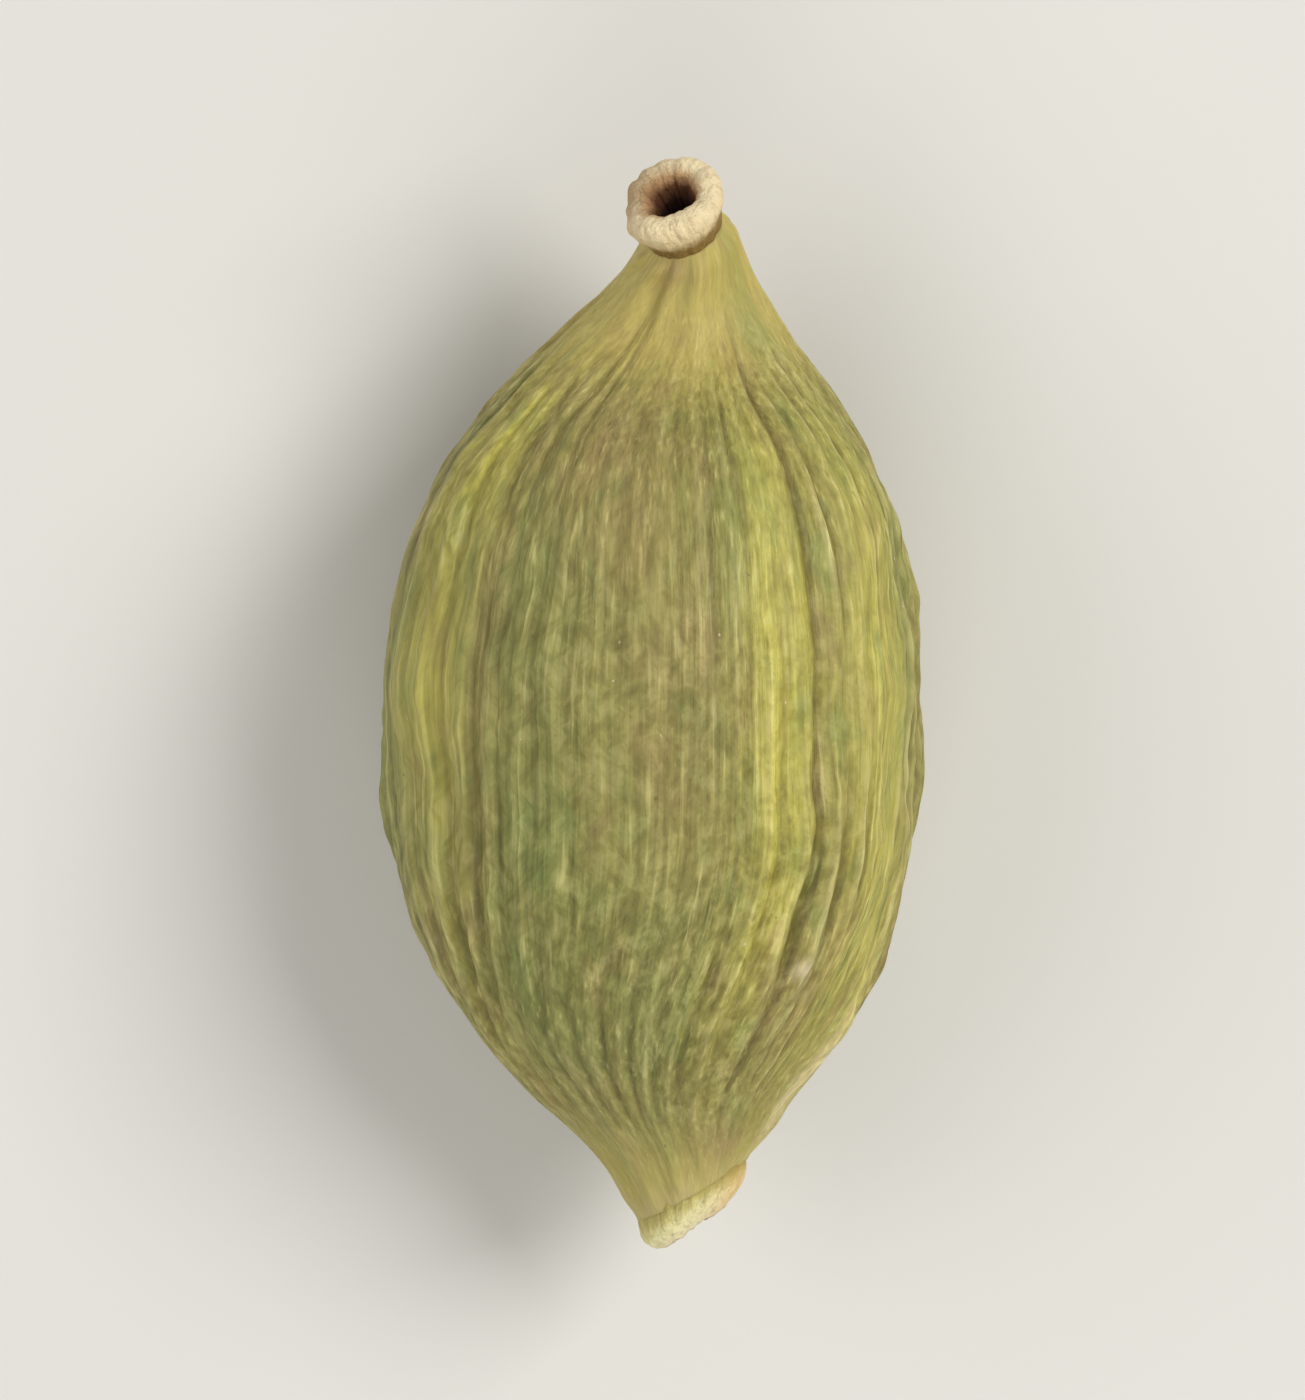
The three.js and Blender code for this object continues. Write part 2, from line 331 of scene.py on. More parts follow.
# Dried capsule skin of green cardamom: a thin fibrous husk, shrunk on its ribs in drying. It looks matt and
# papery, straw-coloured where the fibres are bare and olive where the green is kept.
huskFinish = {
    "olive": "#978f4e",
    "leafGreen": "#798947",
    "ripeYellowAndHighlight": "#cfc65f",
    "brownBlushAndShadow": "#a08859",
    "neckStraw": "#c6b463",
    "grooveShade": "#94865a",
    # the pale of bare fibres, also used as painted highlight on rib tops and beside creases
    "paleFibreAndHighlight": "#dccf93",
    "darkFleck": "#6a5531",
    "paleFleckAndHighlight": "#ead9bd",
    "patterns": {  # width across the pod and length along it in mm, detail, and slope in radians
        "fibres": (0.085, 3.2, 2.0, 0.0),  # the real fibres are half as wide, and drawn this wide to show
        "bundles": (0.3, 4.2, 3.0, 0.0),
        "risingWrinkles": (0.21, 0.95, 3.0, 0.55),
        "fallingWrinkles": (0.21, 0.95, 3.0, -0.55),
        "blotches": (1.9, 3.0, 5.0, 0.0),
        "mottle": (0.42, 1.3, 3.0, 0.0),
        "specks": (0.16, 0.24, 2.0, 0.0),
    },
    "ranges": {  # a pattern, its value from and until, and what that becomes
        "patchy": ("blotches", 0.36, 0.62, 0.35, 1.15),
        "streaked": ("bundles", 0.3, 0.6, 0.65, 1.1),
        "bareBundles": ("bundles", 0.4, 0.65, 0.0, 1.0),
        "brownMottle": ("mottle", 0.54, 0.68, 0.0, 1.0),
        "greenMottle": ("mottle", 0.47, 0.34, 0.0, 1.0),
        "groove": ("crest", 0.42, 0.05, 0.0, 1.0),
        "ribTop": ("crest", 0.62, 1.0, 0.0, 1.0),
        "creaseShade": ("wrinkles", 0.5, 0.8, 0.0, 1.0),
        "creaseLight": ("wrinkles", 0.54, 0.38, 0.0, 1.0),
        "bareFibres": ("fibres", 0.6, 0.72, 0.0, 1.0),
        "darkSpecks": ("specks", 0.735, 0.77, 0.0, 1.0),
        "paleSpecks": ("specks", 0.235, 0.2, 0.0, 1.0),
        "fibreLight": ("fibres", 0.32, 0.68, 0.78, 1.25),
        "roughness": ("fibres", 0.3, 0.7, 0.66, 0.48),
    },
    "layers": [  # a colour, where it lies, what breaks it up, how much of it at most, and its blend
        ("leafGreen", "green", "patchy", 0.9, "MIX"),  # green where it is kept
        ("ripeYellowAndHighlight", "ripeAndHighlight", "streaked", 0.85, "MIX"),  # yellow where the husk ripened, and a painted highlight along the seam's ridge
        ("neckStraw", "ends", "allOver", 0.75, "MIX"),
        ("brownBlushAndShadow", "brown", "patchy", 0.75, "MIX"),  # brown where it was bruised, and painted shadow under the flower's tube and above the stalk's stub
        ("brownBlushAndShadow", "brownMottle", "allOver", 0.35, "MIX"),
        ("leafGreen", "greenMottle", "fibrous", 0.45, "MIX"),
        ("grooveShade", "groove", "allOver", 0.65, "MULTIPLY"),  # grooves are dark
        ("paleFibreAndHighlight", "ribTop", "bareBundles", 0.5, "MIX"),  # the tops of the ribs are pale with bare fibres, and carry a painted highlight
        ("grooveShade", "creaseShade", "wrinkled", 0.58, "MULTIPLY"),
        ("paleFibreAndHighlight", "creaseLight", "wrinkled", 0.17, "MIX"),
        ("paleFibreAndHighlight", "bareFibres", "fibrous", 0.28, "MIX"),
        # pale flecks, and a painted highlight at the stalk end
        ("paleFleckAndHighlight", "pale", "patchy", 0.8, "MIX"),
        ("darkFleck", "darkSpecks", "allOver", 0.55, "MIX"),
        ("paleFleckAndHighlight", "paleSpecks", "allOver", 0.55, "MIX"),
    ],
    "noiseRoughness": 0.6,
    "saturation": 1.03,
    "wrinkleRise": 0.6,  # of the bumps, next to the fibres
    "bumpHeight": 0.08,
    "ior": 1.45,
    "lightInside": (0.1, (0.5, 0.4, 0.15), 0.4),  # share, reach of red, green and blue, and mm
}


def makeHuskMaterial():
    finish = huskFinish
    material, tree = newMaterial("driedCardamomHusk")
    values = {"allOver": 1.0}
    for name in ("crest", "ripeAndHighlight", "green", "brown", "pale", "ends", "wrinkled", "fibrous"):
        values[name] = addNode(tree, "ShaderNodeAttribute", attribute_name=name).outputs["Fac"]

    podSpace = addNode(tree, "ShaderNodeAttribute", attribute_name="podSpace").outputs["Vector"]
    for name, (width, length, detail, slope) in finish["patterns"].items():
        turned = {"Vector": podSpace, "Rotation": (0, 0, slope)}
        sloped = addNode(tree, "ShaderNodeMapping", turned).outputs[0]
        cells = (1 / width, 1 / length, 1 / width)
        scaled = addNode(tree, "ShaderNodeVectorMath", {0: sloped, 1: cells}, operation="MULTIPLY").outputs[0]
        noise = {"Vector": scaled, "Scale": 1.0, "Detail": detail, "Roughness": finish["noiseRoughness"]}
        values[name] = addNode(tree, "ShaderNodeTexNoise", noise).outputs["Fac"]
    crossed = {0: values["risingWrinkles"], 1: values["fallingWrinkles"]}
    values["wrinkles"] = addNode(tree, "ShaderNodeMath", crossed, operation="MAXIMUM").outputs[0]
    for name, (pattern, low, high, bottom, top) in finish["ranges"].items():
        limits = {"From Min": low, "From Max": high, "To Min": bottom, "To Max": top}
        values[name] = addNode(tree, "ShaderNodeMapRange", {"Value": values[pattern], **limits}).outputs[0]

    skin = linearColor(finish["olive"])
    for color, place, pattern, most, blend in finish["layers"]:
        placed = {0: values[place], 1: values[pattern]}
        broken = addNode(tree, "ShaderNodeMath", placed, operation="MULTIPLY").outputs[0]
        limited = {0: broken, 1: most}
        share = addNode(tree, "ShaderNodeMath", limited, operation="MULTIPLY", use_clamp=True).outputs[0]
        colors = {mixShare: share, mixUnder: skin, mixOver: linearColor(finish[color])}
        skin = addNode(tree, "ShaderNodeMix", colors, data_type="RGBA", blend_type=blend).outputs[mixResult]
    lit = {
        "Color": skin,
        "Saturation": finish["saturation"],
        "Value": values["fibreLight"],
        "Fac": values["fibrous"],
    }
    skin = addNode(tree, "ShaderNodeHueSaturation", lit).outputs[0]

    raised = {0: values["fibres"], 1: values["bundles"]}
    fibreHeight = addNode(tree, "ShaderNodeMath", raised, operation="MULTIPLY").outputs[0]
    added = {0: values["wrinkles"], 1: finish["wrinkleRise"], 2: fibreHeight}
    height = addNode(tree, "ShaderNodeMath", added, operation="MULTIPLY_ADD").outputs[0]
    depth = {"Height": height, "Strength": values["fibrous"], "Distance": finish["bumpHeight"] * millimetre}
    bumps = addNode(tree, "ShaderNodeBump", depth)
    insideShare, insideColors, insideDepth = finish["lightInside"]
    shader = addNode(
        tree,
        "ShaderNodeBsdfPrincipled",
        {
            "Base Color": skin,
            "Roughness": values["roughness"],
            "IOR": finish["ior"],
            "Normal": bumps.outputs["Normal"],
            "Subsurface Weight": insideShare,
            "Subsurface Radius": insideColors,
            "Subsurface Scale": insideDepth * millimetre,
        },
    )
    addNode(tree, "ShaderNodeOutputMaterial", {"Surface": shader.outputs[0]})
    return material


# Dried petal tube: thin plant tissue, torn off and dried to a chalky ring. It is creamy where it is thick,
# with a painted highlight on its lip; its foot is painted brown as the shadow under the ring, and its brown
# throat is painted darker as shade.
tubeFinish = {
    "stops": [  # from the foot, up the outside, over the lip and down the throat: painted shadow at the foot, painted highlight on the lip, painted shade down the throat
        (0.1, "#80632c"), (0.24, "#94763a"), (0.35, "#ecd5a4"), (0.6, "#f8e6ba"), (0.68, "#d0a878"),
        (0.75, "#754c2b"), (0.84, "#3f210e"), (0.95, "#200f07"),
    ],
    "fibre": "#a98455",
    "sideShadeAndTint": "#a58a70",
    "fibreSize": (0.09, 0.81),  # mm across and along
    "grainSize": 0.12,
    "unevenness": 0.1,
    "roughness": 0.72,
}

# Corky stalk scar: plant tissue that snapped and dried. It is matt, with a pale papery lip round a browner
# middle; the lip's cream is brightened as a painted highlight.
scarFinish = {
    "stops": [  # out along the side, over the lip and into the scar; the lip's brightest cream is a painted highlight
        (0.2, "#b3a75e"), (0.3, "#cfc37b"), (0.4, "#f1e9ae"), (0.68, "#f8eaba"), (0.8, "#b0935a"),
        (0.94, "#5f4626"),
    ],
    "fibre": "#9a8850",
    "sideShadeAndTint": "#f0d0b6",
    "fibreSize": (0.1, 0.9),
    "grainSize": 0.14,
    "unevenness": 0.3,
    "roughness": 0.8,
}

# What the two dry ends have in common: fine grain, darker fibres, and a little light that gets in.
endTissue = {
    "fibreNoise": (3.0, 0.6),  # detail and roughness
    "grainNoise": (5.0, 0.65),
    "fibreShade": (0.5, 0.75, 0.4),  # the fibres' pattern from and until, and how dark they get
    "fibreRise": 1.2,  # of the bumps, next to the grain
    "bumpHeight": 0.06,
    "ior": 1.42,
    "lightInside": (0.1, (0.5, 0.4, 0.25), 0.25),
}


# The colour goes by the place on the wall, broken up by grain, by fibres along the pod and by one side:
# painted shade on the flower's tube, a warmer tint on the stalk's stub.
def makeEndMaterial(name, finish):
    material, tree = newMaterial(name)
    podSpace = addNode(tree, "ShaderNodeAttribute", attribute_name="podSpace").outputs["Vector"]
    wall = addNode(tree, "ShaderNodeAttribute", attribute_name="wall").outputs["Fac"]
    shadedAndWarm = addNode(tree, "ShaderNodeAttribute", attribute_name="shadedAndWarm").outputs["Fac"]

    width, length = finish["fibreSize"]
    cells = {0: podSpace, 1: (1 / width, 1 / length, 1 / width)}
    stretched = addNode(tree, "ShaderNodeVectorMath", cells, operation="MULTIPLY").outputs[0]
    detail, roughness = endTissue["fibreNoise"]
    noise = {"Vector": stretched, "Scale": 1.0, "Detail": detail, "Roughness": roughness}
    fibres = addNode(tree, "ShaderNodeTexNoise", noise).outputs["Fac"]
    detail, roughness = endTissue["grainNoise"]
    noise = {"Vector": podSpace, "Scale": 1 / finish["grainSize"], "Detail": detail, "Roughness": roughness}
    grain = addNode(tree, "ShaderNodeTexNoise", noise).outputs["Fac"]

    grainy = {0: grain, 1: finish["unevenness"], 2: wall}
    placed = addNode(tree, "ShaderNodeMath", grainy, operation="MULTIPLY_ADD").outputs[0]
    centred = {0: placed, 1: finish["unevenness"] / 2}
    placed = addNode(tree, "ShaderNodeMath", centred, operation="SUBTRACT").outputs[0]
    skin = addNode(tree, "ShaderNodeValToRGB", {"Fac": placed}, stops=finish["stops"]).outputs["Color"]
    low, high, most = endTissue["fibreShade"]
    limits = {"Value": fibres, "From Min": low, "From Max": high, "To Min": 0.0, "To Max": most}
    fibrous = addNode(tree, "ShaderNodeMapRange", limits).outputs[0]
    for share, color in ((fibrous, "fibre"), (shadedAndWarm, "sideShadeAndTint")):
        colors = {mixShare: share, mixUnder: skin, mixOver: linearColor(finish[color])}
        mix = addNode(tree, "ShaderNodeMix", colors, data_type="RGBA", blend_type="MULTIPLY")
        skin = mix.outputs[mixResult]

    raised = {0: fibres, 1: endTissue["fibreRise"], 2: grain}
    height = addNode(tree, "ShaderNodeMath", raised, operation="MULTIPLY_ADD").outputs[0]
    depth = {"Height": height, "Strength": 1.0, "Distance": endTissue["bumpHeight"] * millimetre}
    bumps = addNode(tree, "ShaderNodeBump", depth)
    insideShare, insideColors, insideDepth = endTissue["lightInside"]
    shader = addNode(
        tree,
        "ShaderNodeBsdfPrincipled",
        {
            "Base Color": skin,
            "Roughness": finish["roughness"],
            "IOR": endTissue["ior"],
            "Normal": bumps.outputs["Normal"],
            "Subsurface Weight": insideShare,
            "Subsurface Radius": insideColors,
            "Subsurface Scale": insideDepth * millimetre,
        },
    )
    addNode(tree, "ShaderNodeOutputMaterial", {"Surface": shader.outputs[0]})
    return material


# The husk's fine detail. A noise is given by its cells round the pod, a cell's length in mm, and its seed. A
# patch is a turn and its spread in degrees, a distance along the pod and its spread in mm, and a strength.
huskDetail = {
    "aroundSteps": 480,
    "alongSteps": 200,
    "endCrowding": 0.35,
    "fibreRadius": 3.7,  # mm, to lay the skin's patterns out along the ribs
    "fibreTaper": 0.4,
    "noises": {
        "stray": (15, 5.2, 3),
        "smallStray": (34, 1.7, 4),
        "ribFade": (36, 2.8, 5),
        "veins": (60, 1.5, 7),
        "creases": (64, 2.1, 9),
        "creasedPlaces": (21, 2.6, 10),
        "dents": (9, 2.3, 13),
        "smallDents": (22, 1.1, 17),
        "seams": (6, 2.4, 19),
        "endEdge": (34, 0.6, 23),
        "wrinkled": (8, 3.0, 41),
    },
    "ribStraying": (1.5, 0.45),  # radians of the rib wave, and the small noise's share
    "ribFading": 0.75,
    "ribLean": (0.22, 1.1),  # a second wave on each rib: its strength, and where it starts
    "veinCount": 3,  # to each rib
    "veinHeight": 0.012,
    "veinStraying": 2.4,
    "creaseDepth": 0.05,
    "creaseSharpness": 9,
    "creasedFrom": (-0.1, 0.5),  # the noise where creases begin, and where they are full
    "wrinkleHeight": 0.022,
    "wrinkles": [(0.16, (110, 0.62, 11)), (-0.16, (110, 0.62, 12))],  # slant in radians per mm, and noise
    "reliefWrinklesFrom": (0.15, 0.5),  # share of the full width
    "dentDepth": (0.06, 0.5),  # mm, and the small dents' share
    "seamRidge": (0.085, 0.07, 0.12),  # mm high, and radians: how far from the seam, and how wide
    "seamGroove": (0.035, -0.07, 0.034),
    "seamStraying": 0.02,
    "neck": (12.6, 14.8),  # its folds grow from and until
    "neckEnd": (15.4, 16.1, 0.8),  # they fade from and until, and by how much
    "neckFolds": [  # turn in degrees, height in mm, spread in degrees
        (90, 0.07, 15), (60, -0.055, 13), (30, 0.05, 16), (-3, -0.05, 10), (-34, 0.05, 14), (150, -0.06, 14),
        (-100, -0.06, 14),
    ],
    "endRounding": (0.3, 0.03, 0.1),  # mm along, and mm in radius at the stalk and at the beak
    "endUneven": 0.02,
    "swellings": [(94, 35, 2.05, 0.6, 0.16), (-87, 35, 1.05, 0.7, 0.15)],  # as patches, in mm
    # the middle of the crest value, and how much each part of the relief moves it
    "crest": {"middle": 0.5, "ribs": 0.3, "creases": 4.5, "folds": 2.5, "grooves": 0.25},
    "strawNeck": (12.8, 14.8),  # straw-coloured from and until
    "strawBase": (0.8, 2.2, 0.7),  # full up to, gone from, and how much
    "fibresFrom": (0.2, 0.8, 0.35),  # share of the full width from and until, and how much on narrow ends
    "calmFibres": 0.5,
    "skinWrinklesFrom": (0.2, 0.5),
    "wrinkling": (0.7, 0.5),  # all over, and how much more or less by its noise
    "patches": {
        "calm": [(38, 29, 8.6, 5.5, 0.55), (80, 18, 8.0, 6.0, 0.2), (-125, 30, 8.0, 5.0, 0.3)],
        "ripeAndHighlight": [
            # the first of these, on the seam's ridge, is a painted highlight
            (4, 8, 8.8, 4.6, 1.0), (-24, 14, 9.0, 5.0, 0.6), (84, 9, 9.6, 4.2, 0.7), (-45, 16, 8.0, 5.0, 0.5),
            (150, 25, 8.0, 5.0, 0.6), (-120, 14, 9.0, 6.0, 0.7), (82, 10, 12.5, 1.2, 0.7),
            (-70, 10, 3.4, 1.8, 0.7),
        ],
        "green": [
            (55, 16, 5.6, 2.2, 0.9), (57, 12, 9.4, 2.4, 0.3), (30, 14, 3.8, 1.8, 0.8),
            (12, 7, 11.8, 1.7, 0.6), (62, 14, 10.5, 1.6, 0.3), (-60, 18, 10.0, 3.0, 0.6),
            (-150, 30, 6.0, 4.0, 0.8), (110, 18, 6.0, 3.5, 0.6), (-26, 13, 14.4, 1.8, 0.5),
        ],
        "brown": [
            (46, 15, 12.4, 1.7, 0.65), (29, 10, 8.0, 2.2, 0.4), (-17, 9, 4.4, 1.4, 0.9),
            (69, 4, 9.5, 3.4, 0.7), (-90, 14, 4.0, 2.0, 0.6), (175, 16, 11.0, 2.5, 0.6),
            # the first and the last of these are painted shade: under the flower's tube, and above the
            # stalk's stub
            (60, 26, 16.0, 0.4, 1.0), (-2, 5, 14.2, 1.0, 0.7), (-15, 25, 1.5, 0.5, 0.9),
        ],
        # the last of these is a painted highlight at the stalk end
        "pale": [(-8.5, 2.4, 4.5, 0.14, 0.6), (-70, 9, 2.4, 1.2, 0.4), (40, 80, 0.75, 0.3, 0.2)],
        "greenStrip": [(-26, 15, 14.6, 2.4, 0.7)],  # where the neck isn't straw-coloured
        "wrinkled": [(40, 32, 4.8, 2.2, 0.8)],
    },
}


# The skin's fine relief on top of the solid's form, and how near each point is to the top of a rib.
def huskRelief(turn, along, noise, calm):
    detail = huskDetail
    body = bodyAt(along)
    straying, smallShare = detail["ribStraying"]
    stray = straying * (noise["stray"] + smallShare * noise["smallStray"])
    phase = podForm["ribCount"] * turn + stray
    fade = 1 + detail["ribFading"] * noise["ribFade"]
    leanStrength, leanStart = detail["ribLean"]
    ribWave = fade * (np.cos(phase) + leanStrength * np.cos(2 * phase + leanStart))
    radius = huskRadius(turn, along, ribWave * calm)

    veinPhase = detail["veinCount"] * phase + detail["veinStraying"] * noise["veins"]
    veins = detail["veinHeight"] * np.cos(veinPhase)
    creased = (1 - np.abs(noise["creases"])) ** detail["creaseSharpness"]
    creases = -detail["creaseDepth"] * creased * smoothStep(*detail["creasedFrom"], noise["creasedPlaces"])
    leaning = sum(softNoise(turn + slant * along, along, *cells) for slant, cells in detail["wrinkles"])
    wrinkles = detail["wrinkleHeight"] * leaning
    dentDepth, smallShare = detail["dentDepth"]
    dents = dentDepth * (noise["dents"] + smallShare * noise["smallDents"])

    wavy = turn + detail["seamStraying"] * noise["seams"]
    sector = fullTurn / seamCount
    ridge, groove = (
        bump((wavy - place + sector / 2) % sector - sector / 2, 0, width)
        for _, place, width in (detail["seamRidge"], detail["seamGroove"])
    )
    seams = detail["seamRidge"][0] * ridge - detail["seamGroove"][0] * groove

    fadeFrom, fadeUntil, fadeBy = detail["neckEnd"]
    neck = smoothStep(*detail["neck"], along) * (1 - fadeBy * smoothStep(fadeFrom, fadeUntil, along))
    turned = (np.degrees(turn) + 180) % 360 - 180
    folds = sum(height * bump(turned, at, spread) for at, height, spread in detail["neckFolds"])
    wide = smoothStep(*detail["reliefWrinklesFrom"], fullnessAt(along))
    relief = body * (veins + calm * creases + dents + seams) + wide * wrinkles + neck * folds

    shares = detail["crest"]
    crest = shares["middle"] + calm * body * (shares["ribs"] * ribWave + shares["creases"] * creases)
    crest = crest + shares["folds"] * neck * folds - shares["grooves"] * body * groove

    reach, stalkDepth, beakDepth = detail["endRounding"]
    fromEnd = np.minimum(along - podForm["huskFrom"], podForm["huskUntil"] - along)
    depth = np.where(along < podForm["lineLength"] / 2, stalkDepth, beakDepth)
    pleats = podForm["pleatHeight"] * np.cos(podForm["pleatCount"] * turn)
    uneven = detail["endUneven"] * noise["endEdge"]
    rounded = (1 - smoothStep(0, reach, fromEnd)) * (depth + pleats + uneven)
    swollen = patches(turn, along, detail["swellings"])
    return radius + relief + swollen - rounded, np.clip(crest, 0, 1)


def patches(turn, along, rows):
    degrees = np.degrees(turn)
    total = 0
    for at, spread, place, reach, strength in rows:
        away = (degrees - at + 180) % 360 - 180
        total = total + strength * bump(away, 0, spread) * bump(along, place, reach)
    return np.clip(total, 0, 1)


def buildHusk():
    detail = huskDetail
    even = np.linspace(0, 1, detail["alongSteps"])
    crowded = (1 - np.cos(math.pi * even)) / 2
    share = even + (crowded - even) * detail["endCrowding"]
    start, end = podForm["huskFrom"], podForm["huskUntil"]
    along, turn = gridOf(start + (end - start) * share, detail["aroundSteps"])
    noise = {name: softNoise(turn, along, *cells) for name, cells in detail["noises"].items()}
    patch = {name: patches(turn, along, rows) for name, rows in detail["patches"].items()}
    radius, crest = huskRelief(turn, along, noise, 1 - patch["calm"])
    rings = pointsAround(along, huskAngle(turn, along), radius)

    full = fullnessAt(along)
    layout = detail["fibreRadius"] * full ** detail["fibreTaper"]
    fibresFrom, fibresUntil, fewest = detail["fibresFrom"]
    fibrous = fewest + (1 - fewest) * smoothStep(fibresFrom, fibresUntil, full)
    baseUntil, baseFrom, baseShare = detail["strawBase"]
    strawBase = baseShare * (1 - smoothStep(baseUntil, baseFrom, along))
    strawNeck = (1 - patch["greenStrip"]) * smoothStep(*detail["strawNeck"], along)
    allOver, byNoise = detail["wrinkling"]
    wrinkled = allOver + byNoise * noise["wrinkled"] + patch["wrinkled"]
    attributes = {
        "podSpace": np.stack([layout * np.cos(turn), along, layout * np.sin(turn)], axis=-1),
        "crest": crest,
        "ripeAndHighlight": patch["ripeAndHighlight"],
        "green": patch["green"],
        "brown": patch["brown"],
        "pale": patch["pale"],
        "fibrous": fibrous * (1 - detail["calmFibres"] * patch["calm"]),
        "ends": strawNeck + strawBase,
        "wrinkled": smoothStep(*detail["skinWrinklesFrom"], full) * wrinkled,
    }
    husk = meshFromRings("huskSkin", rings, attributes)
    husk.data.materials.append(makeHuskMaterial())
    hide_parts("husk")
    print("husk:", len(husk.data.vertices), "points")


# The flower's tube and the stalk's stub. Each is a wall turned about the pod's middle line, given by rows of
# a distance out from the husk's end and a radius.
tubeDetail = {
    "wall": [  # up the outside, over the lip and down the throat
        (-0.3, 0.46), (-0.05, 0.58), (0.13, 0.63), (0.31, 0.71), (0.5, 0.78), (0.65, 0.8), (0.77, 0.75),
        (0.82, 0.65), (0.81, 0.52), (0.74, 0.41), (0.61, 0.34), (0.44, 0.3), (0.24, 0.27), (0.04, 0.22),
    ],
    "aroundSteps": 240,
    "wallSteps": 120,
    "torn": (0.25, 0.65),  # the lip is torn and wavy from the first distance out to the second
    "tear": 0.075,  # mm, as the waver, the pucker and the flutes' depth
    "waver": 0.06,
    "pucker": 0.022,
    "flutes": 17,
    "fluteDepth": 0.01,
    "shadedAndWarmSide": [(-135, 55, 0.5, 0.5, 0.7)],  # painted shade on the ring's side away from the lights: turn and spread in degrees, place on the wall, reach, strength
    "seed": 20,
}

stubDetail = {
    "wall": [  # out along the side, over the lip and into the scar
        (-0.3, 0.8), (-0.12, 0.89), (0.04, 0.93), (0.17, 0.92), (0.3, 0.86), (0.42, 0.75), (0.51, 0.61),
        (0.56, 0.47), (0.55, 0.35), (0.49, 0.24), (0.46, 0.1),
    ],
    "aroundSteps": 240,
    "wallSteps": 110,
    "torn": (0.02, 0.3),
    "tear": 0.035,
    "waver": 0.04,
    "pucker": 0.022,
    "flutes": 14,
    "fluteDepth": 0.012,
    "swellings": [(-5, 50, 0.45, 0.4, 0.13)],  # turn and spread in degrees, place on the wall, reach, mm
    # a warmer tint on one side of the stub
    "shadedAndWarmSide": [(20, 38, 0.45, 0.4, 0.8)],
    "seed": 30,
}

# The relief of both walls. A noise is given by its cells round the wall, a cell's length in mm, and how far
# the wall runs through it. Each adds its own number to the wall's seed.
wallRelief = {
    "noises": {
        "waver": (7, 0.8, 0.7),
        "pucker": (44, 0.22, 1.6),
        "notches": (9, 1.0, 0.0),
        "smallNotches": (25, 1.0, 0.0),
        "grain": (60, 0.1, 2.0),
    },
    "noiseFrom": 3,  # mm, where the noises are read
    "smallNotches": 0.55,
    "grain": 0.5,
}


def buildEnd(name, detail, base, outwards, material):
    out, radius = np.array(detail["wall"]).T
    lengths = np.concatenate([[0], np.cumsum(np.hypot(np.diff(out), np.diff(radius)))])
    share = np.linspace(0, 1, detail["wallSteps"])
    out = curveThrough(lengths, out, share * lengths[-1])[:, None]
    radius = curveThrough(lengths, radius, share * lengths[-1])[:, None]
    along, turn = gridOf(base + outwards * out[:, 0], detail["aroundSteps"])
    wall = share[:, None] + 0 * turn
    noise = {}
    for number, (kind, (cells, length, run)) in enumerate(wallRelief["noises"].items()):
        places = wallRelief["noiseFrom"] + run * wall
        noise[kind] = softNoise(turn, places, cells, length, detail["seed"] + number)

    torn = smoothStep(*detail["torn"], out)
    flutes = np.abs(np.cos(detail["flutes"] / 2 * turn))
    swell = torn * detail["waver"] * noise["waver"] + detail["pucker"] * noise["pucker"]
    swell = swell - (1 - torn) * detail["fluteDepth"] * flutes
    swell = swell + patches(turn, wall, detail.get("swellings", []))
    notched = noise["notches"] + wallRelief["smallNotches"] * noise["smallNotches"]
    grainy = wallRelief["grain"] * detail["pucker"] * noise["grain"]
    lift = outwards * (torn * detail["tear"] * notched + grainy)
    rings = pointsAround(along, turn, radius + swell)
    rings = rings + lift[..., None] * sectionFrames(along[:, 0])[2][:, None, :]
    attributes = {
        "wall": wall,
        "shadedAndWarm": patches(turn, wall, detail["shadedAndWarmSide"]),
        "podSpace": np.stack([radius * np.cos(turn), along, radius * np.sin(turn)], axis=-1),
    }
    if outwards < 0:
        rings, attributes = rings[::-1], {label: values[::-1] for label, values in attributes.items()}
    piece = meshFromRings(name, rings, attributes)
    piece.data.materials.append(material)
    print(name + ":", len(piece.data.vertices), "points")
    return piece


# The studio: a pale floor, soft lights and a camera above the pod that leans towards its beak.
studio = {
    "floorColor": "#dedbd4",
    "floorRoughness": 0.9,
    "floorSize": 1.2,  # metres
    "skyColor": "#ffffff",
    "skyStrength": 0.3,
    "lights": [  # place in metres, size in metres, watts
        ((0.24, 0.12, 0.3), 0.2, 1.14),
        ((-0.3, 0.05, 0.3), 0.3, 0.46),
        ((0.0, -0.3, 0.22), 0.25, 0.36),
    ],
    "cameraTilt": 5,  # degrees from straight down, towards the beak
    "cameraDistance": 0.4,  # metres
    "viewHeight": 21.8,  # mm of the pod's surroundings from the top to the bottom of the picture
    "sensor": 36,  # mm
    "nearest": 0.01,  # metres, what the camera still sees
}


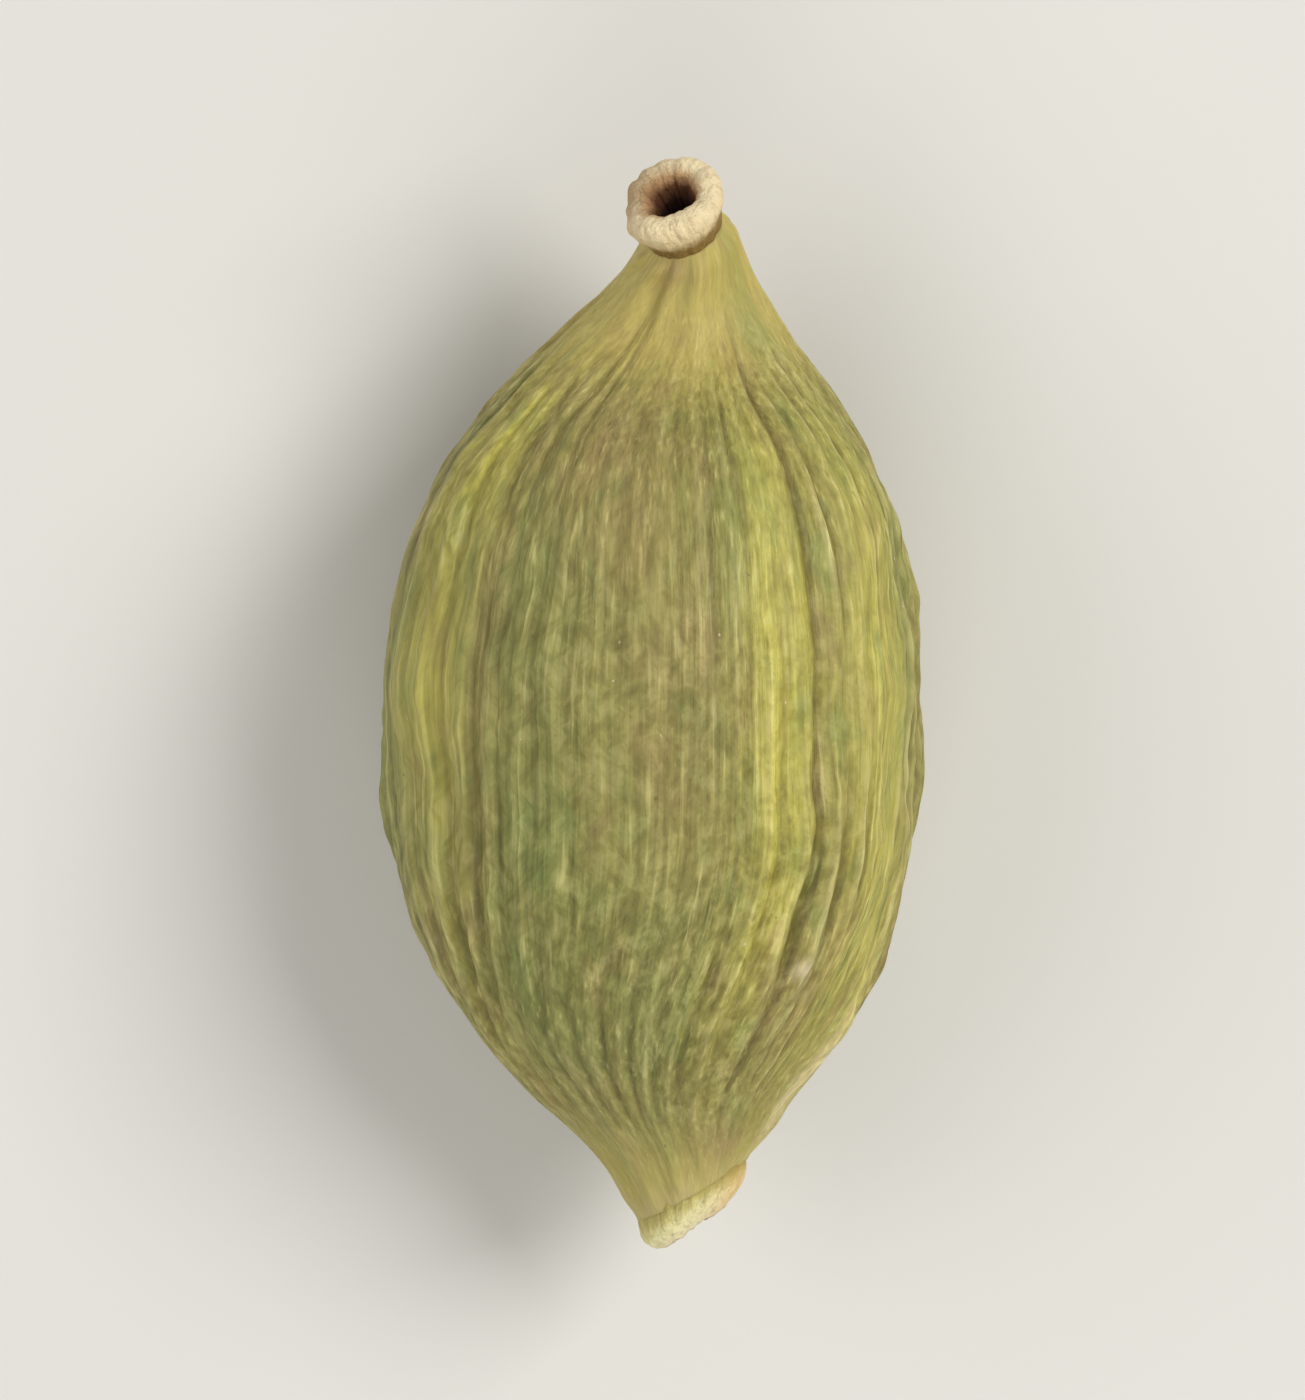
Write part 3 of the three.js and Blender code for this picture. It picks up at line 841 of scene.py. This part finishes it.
def buildStudio():
    half = studio["floorSize"] / 2
    mesh = bpy.data.meshes.new("studioFloor")
    corners = [(-half, -half, 0), (half, -half, 0), (half, half, 0), (-half, half, 0)]
    mesh.from_pydata(corners, [], [(0, 1, 2, 3)])
    floor = bpy.data.objects.new("studioFloor", mesh)
    bpy.context.scene.collection.objects.link(floor)
    material, tree = newMaterial("paleStudioFloor")
    paint = {"Base Color": linearColor(studio["floorColor"]), "Roughness": studio["floorRoughness"]}
    shader = addNode(tree, "ShaderNodeBsdfPrincipled", paint)
    addNode(tree, "ShaderNodeOutputMaterial", {"Surface": shader.outputs[0]})
    mesh.materials.append(material)

    world = bpy.data.worlds.new("softSky")
    bpy.context.scene.world = world
    world.use_nodes = True
    sky = world.node_tree.nodes["Background"]
    sky.inputs["Color"].default_value = linearColor(studio["skyColor"])
    sky.inputs["Strength"].default_value = studio["skyStrength"]

    for number, (place, size, power) in enumerate(studio["lights"]):
        lamp = bpy.data.lights.new(f"softbox{number}", "AREA")
        lamp.size, lamp.energy = size, power
        holder = bpy.data.objects.new(f"softbox{number}", lamp)
        holder.location = place
        holder.rotation_euler = Vector(place).to_track_quat("Z", "Y").to_euler()
        bpy.context.scene.collection.objects.link(holder)
    print("studio:", len(studio["lights"]), "lights")


def buildCamera():
    lowest, highest = (Vector(corner) for corner in cadBox)
    target = (lowest + highest) / 2
    tilt = math.radians(studio["cameraTilt"])
    away = Vector((0, math.sin(tilt), math.cos(tilt)))
    ahead = Vector((0, math.cos(tilt), -math.sin(tilt)))
    lens = bpy.data.cameras.new("podCamera")
    lens.sensor_fit = "VERTICAL"
    lens.sensor_height = studio["sensor"]
    lens.lens = studio["sensor"] * studio["cameraDistance"] / (studio["viewHeight"] * millimetre)
    lens.clip_start = studio["nearest"]
    camera = bpy.data.objects.new("podCamera", lens)
    turned = Matrix((Vector((1, 0, 0)), ahead, away)).transposed().to_4x4()
    camera.matrix_world = Matrix.Translation(target + away * studio["cameraDistance"]) @ turned
    bpy.context.scene.collection.objects.link(camera)
    bpy.context.scene.camera = camera
    bpy.context.scene.view_settings.view_transform = "Standard"
    print("camera:", round(lens.lens, 1), "mm lens")


buildHusk()

tubeMaterial = makeEndMaterial("driedFlowerTube", tubeFinish)
flowerTube = buildEnd("flowerTube", tubeDetail, podForm["huskUntil"], 1, tubeMaterial)
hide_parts("flower_tube")

scarMaterial = makeEndMaterial("corkyStalkScar", scarFinish)
stalkStub = buildEnd("stalkStub", stubDetail, podForm["huskFrom"], -1, scarMaterial)
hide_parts("stalk_stub")

buildStudio()
buildCamera()
